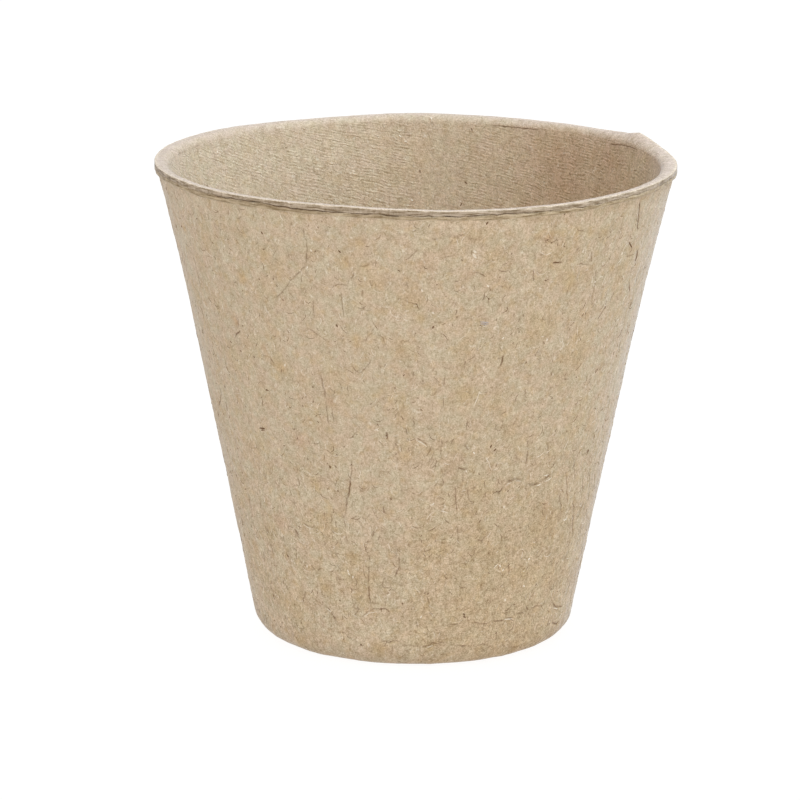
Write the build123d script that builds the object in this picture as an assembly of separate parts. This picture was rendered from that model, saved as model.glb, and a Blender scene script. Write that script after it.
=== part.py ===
"""Moulded-fibre seedling pot, in millimetres, +Z up, origin at the middle of its foot.

The pot is felted in two plies, one over the other, on a tapered former. The inner ply takes the
former's screen mark and turns outward over the rim. The outer ply backs it all the way down. The
rim is trimmed after drying, and along that cut edge the two plies have begun to part.
"""

from build123d import *
import os
from math import atan2, cos, sin

# Outside of the pot
pot_height = 74.0
rim_diameter = 80.0
foot_diameter = 49.0  # where the straight taper meets the ground, before its edge is rounded

# The wall is a straight taper that flares a little on its way up to the lip
flare_height = 28.0
flare_out = 0.8  # how far the flare has left the straight taper where it meets the lip

# Plies, and the rounded edge of the former that they are felted on
inner_ply_thickness = 0.9
outer_ply_thickness = 0.9
former_edge_radius = 1.0

# Trimmed lip that stands out all round the rim
lip_height = 1.25
lip_overhang = 0.4
upper_lip_height = 0.65  # the inner ply's share of the cut edge
split_gap = 0.2  # how wide the plies have parted at the cut edge
split_depth = 1.2  # how far in from the cut edge they have parted
rim_inner_round = 0.9  # the mouth's edge, left soft by the former

# Cuts run past what they cut by this much
overrun = 5.0

# Worked out from the sizes above
rim_radius = rim_diameter / 2
foot_radius = foot_diameter / 2
wall_thickness = inner_ply_thickness + outer_ply_thickness
lip_underside = pot_height - lip_height
split_level = pot_height - upper_lip_height
lip_root_radius = rim_radius - lip_overhang
taper = atan2(lip_root_radius - flare_out - foot_radius, lip_underside)


def band(radius, low, high):
    """A rectangle of the half section, from the pot's axis out to a radius."""
    return Pos(radius / 2, (low + high) / 2) * Rectangle(radius, high - low)


def form_section(depth):
    """Half section of the tapered form that lies this deep under the pot's outer face.

    Depth 0 is the outer face, the wall's whole thickness is the former itself. The form runs on
    past the rim, so that what is cut with it comes out open at the top.
    """
    up_the_wall = Vector(sin(taper), cos(taper))
    foot_corner = Vector(foot_radius, 0)
    flare_start = foot_corner + up_the_wall * ((lip_underside - flare_height) / cos(taper))
    wall = Line(foot_corner, flare_start)
    flare = TangentArc(flare_start, (lip_root_radius, lip_underside), tangent=up_the_wall)
    above_rim = Line(flare @ 1, flare @ 1 + (flare % 1) * (lip_height + wall_thickness + overrun))
    top = Vector(0, (above_rim @ 1).Y)
    half = make_face(Curve() + [wall, flare, above_rim, Polyline(above_rim @ 1, top, (0, 0), foot_corner)])
    whole = half + mirror(half, about=Plane.YZ)
    if depth > 0:
        whole = offset(whole, amount=-depth, kind=Kind.INTERSECTION)
    section = whole & band(rim_diameter, 0, top.Y)
    foot_edge = section.vertices().group_by(Axis.Y)[0].sort_by(Axis.X)[-1]
    return fillet(foot_edge, former_edge_radius + wall_thickness - depth)


def spun(section):
    """The solid that a half section, drawn as radius and height, makes about the pot's axis."""
    return revolve(Plane.XZ * section, axis=Axis.Z)


def inner_ply():
    """The former's side of the pot: floor, wall and the upper half of the turned-out lip."""
    outside = form_section(outer_ply_thickness) & band(rim_diameter, 0, pot_height)
    outside += band(rim_radius, split_level, pot_height)
    section = outside - form_section(wall_thickness)
    mouth_edge = section.vertices().group_by(Axis.Y)[-1].sort_by(Axis.X)[0]
    return spun(fillet(mouth_edge, rim_inner_round))


def outer_ply():
    """The felt side of the pot: foot, wall and the lower half of the lip, parted from the upper."""
    outside = form_section(0) & band(rim_diameter, 0, split_level)
    outside += band(rim_radius, lip_underside, split_level)
    split = make_face(
        Polyline(
            (rim_radius - split_depth, split_level),
            (rim_radius, split_level - split_gap),
            (rim_radius + overrun, split_level - split_gap),
            (rim_radius + overrun, split_level),
            close=True,
        )
    )
    return spun(outside - form_section(outer_ply_thickness) - split)


os.makedirs("parts", exist_ok=True)
for name, piece in {"inner_ply": inner_ply(), "outer_ply": outer_ply()}.items():
    export_step(piece, f"parts/{name}.step")
    print(name, f"{piece.volume / 1000:.2f} cm3", piece.bounding_box().size)
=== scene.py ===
import math
from dataclasses import dataclass

import bpy
import numpy as np
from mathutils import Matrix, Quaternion, Vector, noise
from mathutils.geometry import delaunay_2d_cdt


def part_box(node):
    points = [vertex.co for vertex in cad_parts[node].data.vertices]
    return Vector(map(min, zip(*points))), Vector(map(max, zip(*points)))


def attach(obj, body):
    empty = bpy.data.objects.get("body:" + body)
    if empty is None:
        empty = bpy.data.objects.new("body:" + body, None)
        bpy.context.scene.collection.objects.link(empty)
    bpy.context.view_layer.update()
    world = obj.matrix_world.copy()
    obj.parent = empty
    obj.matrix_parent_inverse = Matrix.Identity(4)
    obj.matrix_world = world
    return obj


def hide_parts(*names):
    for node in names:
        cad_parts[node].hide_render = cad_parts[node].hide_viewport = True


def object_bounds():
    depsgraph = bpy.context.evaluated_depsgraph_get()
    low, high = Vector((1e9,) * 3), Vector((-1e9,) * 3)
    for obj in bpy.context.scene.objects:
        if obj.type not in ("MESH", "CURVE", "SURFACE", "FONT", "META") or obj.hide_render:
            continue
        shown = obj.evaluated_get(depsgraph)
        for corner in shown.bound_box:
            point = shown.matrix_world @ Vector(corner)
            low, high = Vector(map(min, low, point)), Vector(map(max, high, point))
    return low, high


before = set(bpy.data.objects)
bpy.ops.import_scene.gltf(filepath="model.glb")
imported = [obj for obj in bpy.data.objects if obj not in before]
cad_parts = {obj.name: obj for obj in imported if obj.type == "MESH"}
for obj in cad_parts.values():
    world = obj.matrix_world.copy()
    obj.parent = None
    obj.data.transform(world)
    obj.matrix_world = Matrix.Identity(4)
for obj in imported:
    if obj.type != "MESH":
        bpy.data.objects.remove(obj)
cad_low, cad_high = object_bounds()

# Camera
# The photograph looks down into the pot at a shallow angle, from a little over half a metre away, and
# its camera is a third of a degree out of level. Marks on the pot are placed through it.
photo_side = 800
focal_pixels = 3688
aim_pixel = (414.3, 392.35)
view_elevation = math.radians(14.08)
view_distance = 0.5745
camera_roll = math.radians(0.36)


def pixel_direction(pixel):
    """Which way a pixel of the photograph looks, in the camera's own axes."""
    across = (pixel[0] - photo_side / 2) / focal_pixels
    up = (photo_side / 2 - pixel[1]) / focal_pixels
    return Vector((across, up, -1)).normalized()


def set_out(name, data):
    """An object that shows a mesh, a lens or a light, set out in the scene."""
    made = bpy.data.objects.new(name, data)
    bpy.context.scene.collection.objects.link(made)
    return made


aim = Vector((0, 0, cad_high.z / 2))
backward = Vector((0, -math.cos(view_elevation), math.sin(view_elevation)))
level_turn = (-backward).to_track_quat("-Z", "Y") @ Quaternion((0, 0, 1), camera_roll)
camera_turn = level_turn @ pixel_direction(aim_pixel).rotation_difference(Vector((0, 0, -1)))
lens = bpy.data.cameras.new("camera")
lens.sensor_width = 36
lens.lens = lens.sensor_width * focal_pixels / photo_side
lens.clip_start = 0.01
camera = set_out("camera", lens)
camera.location = aim + backward * view_distance
camera.rotation_mode = "QUATERNION"
camera.rotation_quaternion = camera_turn
bpy.context.scene.camera = camera

# Inner ply
# The side of the pot that is felted first, onto the wire screen of a tapered former. It is peat and
# pulped wood fibre, pressed and dried. Its top turns outward over the rim, where it is trimmed.
pot_height = cad_high.z
rim_radius = cad_high.x
split_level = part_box("outer_ply")[1].z
foot_radius = 24.5e-3
flare_height = 28e-3
flare_out = 0.8e-3
lip_height = 1.25e-3
lip_overhang = 0.4e-3
split_gap = 0.2e-3
ply_thickness = 0.9e-3
former_edge_radius = 1e-3
mouth_round = 1.4e-3
edge_bevel = 0.08e-3
bond_gap = 0.02e-3
axis_hole = 0.4e-3
arc_points = 9
wall_points = 40

full_turn = 2 * math.pi
inner_depth = 2 * ply_thickness
lip_underside = pot_height - lip_height
taper = math.atan2(rim_radius - lip_overhang - flare_out - foot_radius, lip_underside)


def wall_radius(height, depth=0.0):
    """Radius of the flared taper at a height, or of the face that lies this deep under it."""
    flare = np.clip((height - lip_underside + flare_height) / flare_height, 0, None)
    return foot_radius + math.tan(taper) * height + flare_out * flare**2 - depth / math.cos(taper)


def arc(radius, height, depth, start, end):
    """Points of a rounded corner about a centre at this height, this deep under the outer face."""
    turn = np.linspace(start, end, arc_points)
    centre = wall_radius(height, depth)
    return np.column_stack([centre + radius * np.cos(turn), height + radius * np.sin(turn)])


def foot_edge(depth):
    """Rounded corner between floor and wall of the face that lies this deep, from floor to wall."""
    radius = former_edge_radius + inner_depth - depth
    return arc(radius, depth + radius, depth + radius, -math.pi / 2, -taper)


def wall_face(low, high, depth):
    """Points up the wall from one height to another, on the face that lies this deep."""
    heights = np.linspace(low, high, wall_points)
    return np.column_stack([wall_radius(heights, depth), heights])


# How the rim has dried out of true: azimuth and half width in degrees, then how far it has lifted
rim_waves = [
    (-155, 14, 0.1e-3), (-108, 12, 0.12e-3), (-68, 26, -0.34e-3), (-40, 45, -0.19e-3),
    (-5, 13, -0.1e-3), (88, 12, 0.17e-3), (121, 15, -0.17e-3),
]
warp_start = 0.55 * pot_height
# A knock at the back right has turned the lip's outer edge up: azimuth in degrees and how far. Its
# mouth side takes a share of that. Beside the knock the mouth has been pushed in.
knocked_lip = [
    (-12, 0), (0, -0.1e-3), (8, -0.2e-3), (15, -0.05e-3), (20, 0.28e-3), (24, 0.66e-3),
    (27.6, 0.95e-3), (29.5, 0.74e-3), (32, 0.42e-3), (36, 0.24e-3), (42, 0.05e-3), (46, 0),
]
knock_at_mouth = 0.25
mouth_push = [(2, 30, 0.4e-3)]
# The split in the cut edge wanders up and down, in waves as above and in small lumps
split_waves = [
    (-127, 6, 0.14e-3), (-115, 5, -0.1e-3), (-106, 9, -0.2e-3), (-87, 8, -0.14e-3),
    (-71, 6, 0.12e-3), (70, 20, 0.1e-3),
]
split_lumps = [(1.7e-3, 0.16e-3, 1), (0.8e-3, 0.06e-3, 1)]
split_points = 1500


def eased(value):
    """0 to 1 with a soft start and end, held outside."""
    share = np.clip(value, 0, 1)
    return share * share * (3 - 2 * share)


def waves_at(angle, waves):
    """Sum of waves round the rim, each by azimuth and half width in degrees and its height."""
    total = 0
    for azimuth, half_width, height in waves:
        off = (np.degrees(angle) - azimuth + 180) % 360 - 180
        total = total + height * np.exp(-((off / half_width) ** 2))
    return total


def round_axis(angle, radius, height):
    """Points at these angles round the pot's axis, radii and heights, as x, y and z."""
    return np.column_stack([radius * np.cos(angle), radius * np.sin(angle), height])


def swell_of(spots, lumps):
    """How far the felt stands up or sinks at these spots, from lumps of given widths and heights, each
    some times as long up the wall as it is wide."""
    swell = np.zeros(len(spots))
    for wide, tall, upright in lumps:
        places = spots / (wide, wide, wide * upright)
        swell += [tall * noise.noise(Vector(place)) for place in places]
    return swell


def split_rise(angle):
    """How far up or down the split between the plies lies at these angles."""
    ring = np.linspace(0, full_turn, split_points)
    swell = swell_of(round_axis(ring, rim_radius, 0 * ring), split_lumps)
    return np.interp(angle % full_turn, ring, waves_at(ring, split_waves) + swell)


def dried(angle, radius, height):
    """Where points of the true form have come to lie on the dried pot, as x, y and z."""
    share = eased((height - warp_start) / (pot_height - warp_start))
    outer_share = eased((radius - wall_radius(height, inner_depth)) / inner_depth)
    azimuth = (np.degrees(angle) + 180) % 360 - 180
    knock = np.interp(azimuth, *np.transpose(knocked_lip)) * share**3
    split_levels = [lip_underside, split_level - split_gap, split_level, pot_height]
    split_share = np.interp(height, split_levels, [0, 1, 1, 0]) * outer_share
    lift = waves_at(angle, rim_waves) * share + split_rise(angle) * split_share
    lift = lift + knock * (knock_at_mouth + (1 - knock_at_mouth) * outer_share)
    radius = radius - waves_at(angle, mouth_push) * share**3 * (1 - outer_share)
    return round_axis(angle, radius, height + lift)


@dataclass
class Stretch:
    """A stretch of a ply's outline: its points as radius and height, the size of its facets, how much
    of the felt's unevenness it takes, and from end to end how pale it is, how much it takes the cut
    edge's colour, which under the lip is painted shade, how much it is the burr along the cut, which
    is partly a painted highlight, how much painted shade it has towards the foot, and how dark it is
    with cracks and with painted shade in the split between the plies and at the foot's edge."""

    name: str
    points: list
    facet: float
    relief: float = 1.0
    pale: tuple = (0, 0)
    trim: tuple = (0, 0)
    burr: tuple = (0, 0)
    scuff: tuple = (0, 0)
    crack: tuple = (0, 0)


def length_along(points):
    """How far along a line each of its points lies."""
    return np.append(0, np.cumsum(np.hypot(*np.diff(points, axis=0).T)))


class HalfSection:
    """Outline of a ply on one side of the axis, laid out in rows that run round the axis.

    The rows carry a rise, which is the way along the outline divided by the radius, so that a plan
    of turn and rise keeps the true angles of the surface.
    """

    def __init__(self, stretches):
        radius, height, facet, relief, self.corner, self.stretch = [[] for _ in range(6)]
        tones = {tone: [] for tone in ("pale", "trim", "burr", "scuff", "crack")}
        for stretch in stretches:
            points = np.asarray(stretch.points)
            along = length_along(points)
            count = max(1, math.ceil(along[-1] / stretch.facet))
            last = stretch is stretches[-1]
            share = np.linspace(0, 1, count + 1)[: count + last]
            radius.extend(np.interp(share * along[-1], along, points[:, 0]))
            height.extend(np.interp(share * along[-1], along, points[:, 1]))
            facet.extend([stretch.facet] * len(share))
            relief.extend([stretch.relief] * len(share))
            for tone, values in tones.items():
                values.extend(np.interp(share, [0, 1], getattr(stretch, tone)))
            self.corner.extend(share % 1 == 0)
            self.stretch.extend([stretch.name] * len(share))
        self.radius, self.height = np.array(radius), np.array(height)
        self.facet, self.relief = np.array(facet), np.array(relief)
        self.tones = {tone: np.array(values) for tone, values in tones.items()}
        steps = np.column_stack([np.diff(self.radius), np.diff(self.height)])
        lengths = np.hypot(*steps.T)
        self.along = np.append(0, np.cumsum(lengths))
        self.rise = np.append(0, np.cumsum(2 * lengths / (self.radius[1:] + self.radius[:-1])))
        unit = steps / lengths[:, None]
        unit = np.vstack([unit[:1], unit[1:] + unit[:-1], unit[-1:]])
        self.outward = np.column_stack([unit[:, 1], -unit[:, 0]]) / np.hypot(*unit.T)[:, None]

    def read(self, rise, values):
        """A value that the rows carry, read between them."""
        return np.interp(rise, self.rise, values)

    def rise_at(self, stretch, height):
        """Rise of the place on a stretch of wall that lies at a height."""
        rows = [i for i, name in enumerate(self.stretch) if name.startswith(stretch)]
        order = sorted(rows, key=lambda i: self.height[i])
        return np.interp(height, self.height[order], self.rise[order])


# A pixel's ray is followed over this share of the way to the pot, in this many steps
ray_span = (0.85, 1.15)
ray_steps = 3001


def on_wall(pixels, depth=0.0, far=False):
    """Angle and height of the places on a wall that show at these pixels of the photograph."""
    places = []
    reach = np.linspace(*ray_span, ray_steps) * view_distance
    for pixel in pixels:
        ray = camera_turn @ pixel_direction(pixel)
        x, y, z = np.array(camera.location)[:, None] + np.array(ray)[:, None] * reach
        outside = np.hypot(x, y) - wall_radius(z, depth)
        crossings = np.nonzero(outside[1:] * outside[:-1] < 0)[0]
        i = crossings[-1 if far else 0]
        share = outside[i] / (outside[i] - outside[i + 1])
        place = [np.interp(share, [0, 1], axis[i : i + 2]) for axis in (x, y, z)]
        places.append((math.atan2(place[1], place[0]), place[2]))
    return np.array(places)


class Mark:
    """A line on the felt: a groove along a route, with the felt on its left lifted a little.

    The route is in turn and rise. Sizes are in metres: half width and depth of the groove, how high
    the lifted side stands, how far it reaches back, and how far the line strays from its route. The
    shade is how dark the groove is painted, partly dirt and partly painted shade in the groove. A mark
    is worn in places and fades out at both ends.
    """

    # Rounds of smoothing, the least that wear leaves, the share of its length that fades at an end, how
    # many of its sizes away a mark is felt, and where points lie beside it, in half widths
    softening = 6
    least_wear = 0.45
    end_fade = 1 / 7
    tail = 3
    beside = np.array([-2.0, -0.8, 0.0, 0.8, 2.0])

    def __init__(self, route, radius, chance, half_width, depth, lip, reach, shade, ragged):
        along = length_along(route)
        count = max(4, math.ceil(along[-1] * radius / (2 * half_width)))
        at = np.linspace(0, along[-1], count)
        line = np.column_stack([np.interp(at, along, route[:, i]) for i in (0, 1)])
        for _ in range(self.softening):
            line[1:-1] = (line[:-2] + 2 * line[1:-1] + line[2:]) / 4
        shake = chance.normal(0, ragged / radius, line.shape)
        shake[1:-1] = (shake[:-2] + shake[1:-1] + shake[2:]) / 3
        self.line = line + shake
        worn = chance.uniform(self.least_wear, 1, max(3, count // 3))
        self.worn = np.interp(np.linspace(0, 1, count), np.linspace(0, 1, len(worn)), worn)
        self.radius = radius
        self.half_width = half_width
        self.depth = depth
        self.lip = lip
        self.reach = reach
        self.shade = shade

    def near(self, places, margin):
        """Which of these places lie inside the line's box or within a margin of it."""
        low = self.line.min(0) - margin / self.radius
        high = self.line.max(0) + margin / self.radius
        return np.nonzero(((places > low) & (places < high)).all(1))[0]

    def distances(self, places):
        """Signed distance of places from the line, left of it above zero, and their share along it."""
        start, step = self.line[:-1], np.diff(self.line, axis=0)
        gap = places[:, None] - start
        share = np.clip((gap * step).sum(2) / (step * step).sum(1), 0, 1)
        off = gap - share[..., None] * step
        distance = np.hypot(off[..., 0], off[..., 1])
        best = distance.argmin(1)
        rows = np.arange(len(places))
        side = step[best, 0] * gap[rows, best, 1] - step[best, 1] * gap[rows, best, 0]
        along = (best + share[rows, best]) / len(step)
        return np.sign(side) * distance[rows, best] * self.radius, along

    def seeds(self):
        """Points beside the line, close enough together to carry its groove."""
        step = np.gradient(self.line, axis=0)
        across = np.column_stack([-step[:, 1], step[:, 0]]) / np.hypot(*step.T)[:, None]
        offsets = self.beside * self.half_width / self.radius
        return np.concatenate([self.line + across * offset for offset in offsets])

    def press(self, places, height, shade):
        """Adds the mark to the height and the shade of the felt at these places."""
        chosen = self.near(places, self.tail * (self.half_width + self.reach))
        if not len(chosen):
            return
        off, along = self.distances(places[chosen])
        fade = eased(np.minimum(along, 1 - along) / self.end_fade)
        fade = fade * np.interp(along, np.linspace(0, 1, len(self.worn)), self.worn)
        groove = np.exp(-((off / self.half_width) ** 2)) * fade
        lifted = np.where(off > 0, np.exp(-off / self.reach), 0) * fade
        height[chosen] += self.lip * lifted - self.depth * groove
        shade[chosen] = np.maximum(shade[chosen], self.shade * groove)


# Points of a row are shaken by this share of their spacing
row_shake = 0.25
fewest_in_row = 12
seam_clearance = 0.2


def scattered(section, marks, chance):
    """Points of a ply's plan, in rows that are shaken a little, with more of them along its marks."""
    places, fixed, edges = [], [], []
    steps = np.gradient(section.rise)
    for row, rise in enumerate(section.rise):
        count = max(fewest_in_row, round(full_turn * section.radius[row] / section.facet[row]))
        turn = np.arange(count + 1) + 0.5 * (row % 2)
        turn[1:-1] += chance.uniform(-row_shake, row_shake, count - 1)
        turn[0], turn[-1] = 0, count
        turn[-2] = min(turn[-2], count - seam_clearance)
        rises = np.full(count + 1, rise)
        if section.corner[row]:
            edges.extend(len(fixed) + i for i in range(count))
        else:
            rises[1:-1] += chance.uniform(-row_shake, row_shake, count - 1) * steps[row]
        places.append(np.column_stack([turn / count * full_turn, rises]))
        fixed.extend([True] + [section.corner[row]] * (count - 1) + [True])
    places = np.concatenate(places)
    kept = np.ones(len(places), bool)
    for mark in marks:
        clear = mark.tail * mark.half_width
        chosen = mark.near(places, clear)
        off, _ = mark.distances(places[chosen])
        kept[chosen[np.abs(off) < clear]] = False
    kept |= np.array(fixed)
    index = np.cumsum(kept) - 1
    edges = [(int(index[i]), int(index[i + 1])) for i in edges]
    return np.concatenate([places[kept]] + [mark.seeds() for mark in marks]), edges


def carry(mesh, tone, values):
    """Gives the points of a mesh a tone, for its material to read."""
    mesh.attributes.new(tone, "FLOAT", "POINT").data.foreach_set("value", values.astype(np.float32))


# Points of the plan this close are merged, or count as lying on its seam or its ends
merge_distance = 1e-6
same_place = 1e-5
# Hidden faces take up this share of the room that open ones have on the bake map
hidden_map_share = 0.1


def laid_felt(name, section, marks, lumps, seed, settle=None):
    """A ply as an object: its plan joined up in facets, rolled round the axis and closed there."""
    places, edges = scattered(section, marks, np.random.default_rng(seed))
    places = [Vector(place) for place in places]
    plan, _, faces, *_ = delaunay_2d_cdt(places, edges, [], 0, merge_distance, False)
    turn, rise = np.array([tuple(p) for p in plan]).T
    faces = np.array(faces)

    radius = section.read(rise, section.radius)
    height = section.read(rise, section.height)
    swell = swell_of(round_axis(turn, radius, height), lumps) * section.read(rise, section.relief)
    tones = {tone: section.read(rise, values) for tone, values in section.tones.items()}
    for mark in marks:
        mark.press(np.column_stack([turn, rise]), swell, tones["crack"])
    radius = radius + swell * section.read(rise, section.outward[:, 0])
    height = height + swell * section.read(rise, section.outward[:, 1])
    if settle:
        height = settle(turn, radius, height)
    points = dried(turn, radius, height)
    map_steps = np.diff(section.along) * np.maximum(hidden_map_share, section.relief[:-1])
    map_share = np.append(0, np.cumsum(map_steps))
    unrolled = np.column_stack([turn / full_turn, section.read(rise, map_share / map_share[-1])])

    # The plan's two sides meet at the seam, and a fan closes each end at the axis
    weld = np.arange(len(turn) + 2)
    left, right = [np.nonzero(np.abs(turn - side) < same_place)[0] for side in (0, full_turn)]
    weld[right[np.argsort(rise[right])]] = left[np.argsort(rise[left])]
    for middle, end in enumerate((section.rise[0], section.rise[-1])):
        ring = np.nonzero(np.abs(rise - end) < same_place)[0]
        ring = ring[np.argsort(turn[ring])][:: 1 if middle else -1]
        fan = np.column_stack([ring[:-1], ring[1:], np.full(len(ring) - 1, len(turn) + middle)])
        faces = np.concatenate([faces, fan])
        points = np.vstack([points, points[ring[1:]].mean(0)])
        unrolled = np.vstack([unrolled, (0.5, middle)])
        tones = {tone: np.append(values, 0) for tone, values in tones.items()}
    used = np.unique(weld)
    welded = np.searchsorted(used, weld)

    mesh = bpy.data.meshes.new(name)
    mesh.from_pydata(points[used].tolist(), [], welded[faces].tolist())
    mesh.shade_smooth()
    for tone, values in tones.items():
        carry(mesh, tone, values[used])
    bake_map = mesh.uv_layers.new(name="OFBake")
    bake_map.data.foreach_set("uv", unrolled[faces].astype(np.float32).ravel())
    return set_out(name, mesh)


bond_depth = ply_thickness + bond_gap
wall_step = 0.62 * pot_height
fade_depth = 1.0e-3
# The pale line along the cut's top edge: partly a burr of fibre, partly a painted highlight.
burr_and_highlight_width = 0.3e-3
split_bevel = 0.3 * edge_bevel
bond_edge = foot_edge(bond_depth)
floor_edge = foot_edge(inner_depth)[::-1]
mouth_centre = (pot_height - mouth_round, inner_depth - mouth_round)
mouth = arc(mouth_round, *mouth_centre, math.pi / 2, math.pi - taper)
fade_low = mouth[-1, 1] - fade_depth
bond_wall = wall_face(bond_edge[-1, 1], split_level, bond_depth)
trim_low = (rim_radius, split_level + split_bevel)
trim_high = (rim_radius, pot_height - edge_bevel)
lip_low = (rim_radius - split_bevel, split_level)
lip_top = (rim_radius - edge_bevel, pot_height)
burr_and_highlight_end = (lip_top[0] - burr_and_highlight_width, pot_height)
inner_section = HalfSection([
    Stretch("hidden_floor", [(axis_hole, bond_depth), bond_edge[0]], 3e-3, 0),
    Stretch("hidden_edge", bond_edge, 1e-3, 0),
    Stretch("hidden_wall", bond_wall, 3e-3, 0),
    Stretch("lip_underside", [bond_wall[-1], lip_low], 0.3e-3, 0),
    Stretch("trim_low", [lip_low, trim_low], 0.15e-3, 0.5, trim=(1, 1)),
    Stretch("trim", [trim_low, trim_high], 0.15e-3, 0.7, trim=(1, 1)),
    Stretch("trim_high", [trim_high, lip_top], 0.15e-3, 0.5, trim=(0.8, 0), burr=(0.1, 1)),
    Stretch("burr", [lip_top, burr_and_highlight_end], 0.2e-3, 0.6, pale=(0, 1), burr=(1, 0.3)),
    Stretch("top", [burr_and_highlight_end, mouth[0]], 0.35e-3, 0.7, pale=(1, 1), burr=(0.3, 0)),
    Stretch("mouth", mouth, 0.3e-3, 0.8, pale=(0.95, 0.3)),
    Stretch("wall_top", wall_face(mouth[-1, 1], fade_low, inner_depth), 0.4e-3, 1, pale=(0.3, 0)),
    Stretch("wall", wall_face(fade_low, wall_step, inner_depth), 0.5e-3),
    Stretch("wall_low", wall_face(wall_step, floor_edge[0, 1], inner_depth), 0.8e-3),
    Stretch("floor_edge", floor_edge, 0.35e-3),
    Stretch("floor", [floor_edge[-1], (axis_hole, inner_depth)], 0.8e-3),
])
screen_lumps = [(8e-3, 0.10e-3, 1), (2.4e-3, 0.05e-3, 1), (1.1e-3, 0.025e-3, 1)]

# Lines in the felt, by kind. The lifted side is the one on the left along the route. Each kind's
# shade is how dark its groove is painted, partly painted shade.
seam = dict(half_width=0.08e-3, depth=0.05e-3, lip=0.08e-3, reach=0.8e-3, shade=0.9, ragged=0.06e-3)
scratch = dict(half_width=0.11e-3, depth=0.04e-3, lip=0.02e-3, reach=0.4e-3, shade=0.35, ragged=0.05e-3)
mark_chance = np.random.default_rng(11)


def traced(section, depth, far, kind, routes):
    """Marks of a kind on a wall, along routes that show at pixels of the photograph."""
    marks = []
    for pixels in routes:
        turn, height = on_wall(pixels, depth, far).T
        route = np.column_stack([turn % full_turn, section.rise_at("wall", height)])
        marks.append(Mark(route, wall_radius(height.mean(), depth), mark_chance, **kind))
    return marks


mouth_seams = [
    [(489, 122.5), (503, 123.5), (516, 124), (530, 127), (541, 126)],
    [(608, 145), (612, 144.5), (623, 146), (632, 148), (640, 151)],
]
inner_scratches = [
    [(318, 162), (314, 165), (313, 169), (316, 174), (320, 176)],
    [(466, 181), (465, 185)], [(391, 133.5), (395, 134.3), (401, 134)], [(177, 151.3), (183, 150.8)],
    [(194, 146.7), (199, 145)], [(421, 130), (421.5, 136)],
]
inner_marks = traced(inner_section, inner_depth, True, seam, mouth_seams)
inner_marks += traced(inner_section, inner_depth, True, scratch, inner_scratches)
inner_ply = laid_felt("inner_ply_felt", inner_section, inner_marks, screen_lumps, seed=3)


def stained(piece, tone, spots, depth=0.0, far=False):
    """Gives a piece a tone about spots that show at pixels of the photograph, with radii in pixels."""
    mesh = piece.data
    at = np.empty(3 * len(mesh.vertices), np.float32)
    mesh.vertices.foreach_get("co", at)
    value = np.zeros(len(mesh.vertices))
    for x, y, radius in spots:
        turn, height = on_wall([(x, y)], depth, far)[0]
        middle = round_axis(turn, wall_radius(height, depth), height)
        off = np.linalg.norm(at.reshape(-1, 3) - middle, axis=1) * focal_pixels / view_distance
        value = np.maximum(value, np.exp(-((off / radius) ** 2)))
    carry(mesh, tone, value)


# Painted shade: the screen side's right half is painted warmer and darker.
stained(inner_ply, "blush", [(606, 162, 40), (565, 168, 55)], inner_depth, True)
# Painted light: the screen side is painted paler at both ends under the rim.
stained(inner_ply, "chalk", [(172, 160, 10), (657, 167, 14)], inner_depth, True)
mouth_worn = [
    (310, 121, 30), (350, 118, 35), (395, 116, 40), (440, 116, 40), (485, 119, 35), (570, 126, 25),
]
stained(inner_ply, "worn", mouth_worn, inner_depth, True)
stained(inner_ply, "stain", [(529, 206, 8), (545, 204, 7), (566, 201, 5)])


def seen(red, green, blue):
    """A colour as a photograph shows it, 0 to 255, for a shader."""
    share = [c / 255 for c in (red, green, blue)]
    return tuple(c / 12.92 if c < 0.04045 else ((c + 0.055) / 1.055) ** 2.4 for c in share) + (1.0,)


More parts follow.
